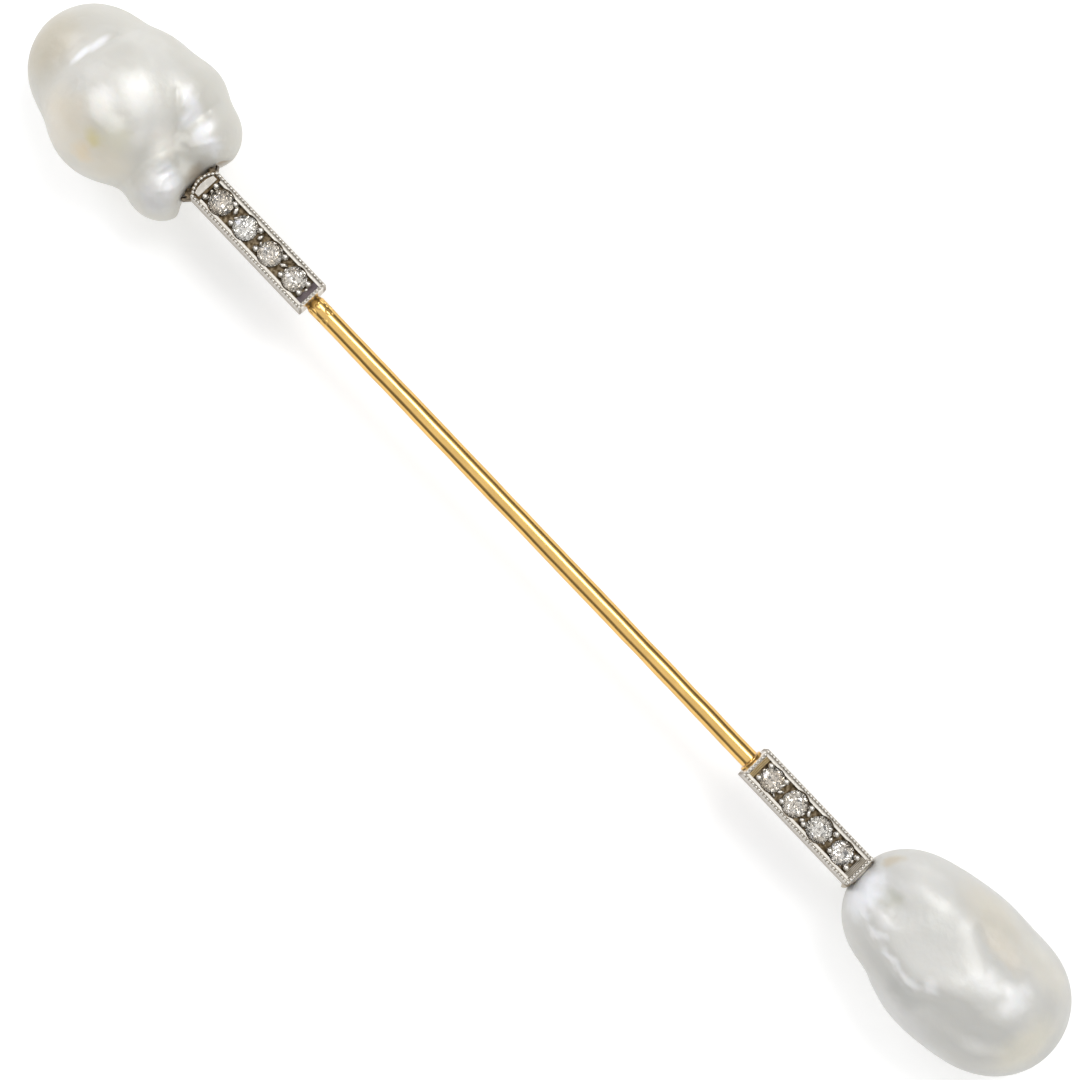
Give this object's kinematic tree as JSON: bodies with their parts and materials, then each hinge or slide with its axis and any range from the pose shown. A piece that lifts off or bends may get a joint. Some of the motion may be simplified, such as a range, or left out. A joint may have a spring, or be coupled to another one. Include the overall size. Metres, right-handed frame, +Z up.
{
  "type": "jabot pin",
  "caption": "Jabot pin: a gold pin stem between two narrow milgrain bars set with old-cut stones, each ending in a baroque pearl; one end pulls off.",
  "frame": {"origin": "on the surface that the pin lies on, below the middle of its bounding box", "axes": "+X along the pin stem, towards the end that pulls off; +Z up, out of the stones' faces; +Y across"},
  "size_m": [0.0798, 0.0096, 0.0084],
  "materials": {
    "yellow_gold": "polished yellow gold, lightly hand-worked",
    "platinum": "bright white metal, milgrain edges, dark in the recesses",
    "diamond": "faceted, polished",
    "pearl": "satin nacre, white with cream and grey tints"
  },
  "bodies": {
    "pin": {"pin_stem": "yellow_gold", "bar_a": "platinum", "diamond_a1": "diamond", "diamond_a2": "diamond", "diamond_a3": "diamond", "diamond_a4": "diamond", "pearl_a": "pearl"},
    "terminal": {"bar_b": "platinum", "terminal_tube": "yellow_gold", "diamond_b1": "diamond", "diamond_b2": "diamond", "diamond_b3": "diamond", "diamond_b4": "diamond", "pearl_b": "pearl"}
  },
  "joints": [
    {"name": "terminal_slide", "type": "slide", "parent": "pin", "child": "terminal", "axis": [1, 0, 0], "range_m": [0, 0.016]}
  ]
}
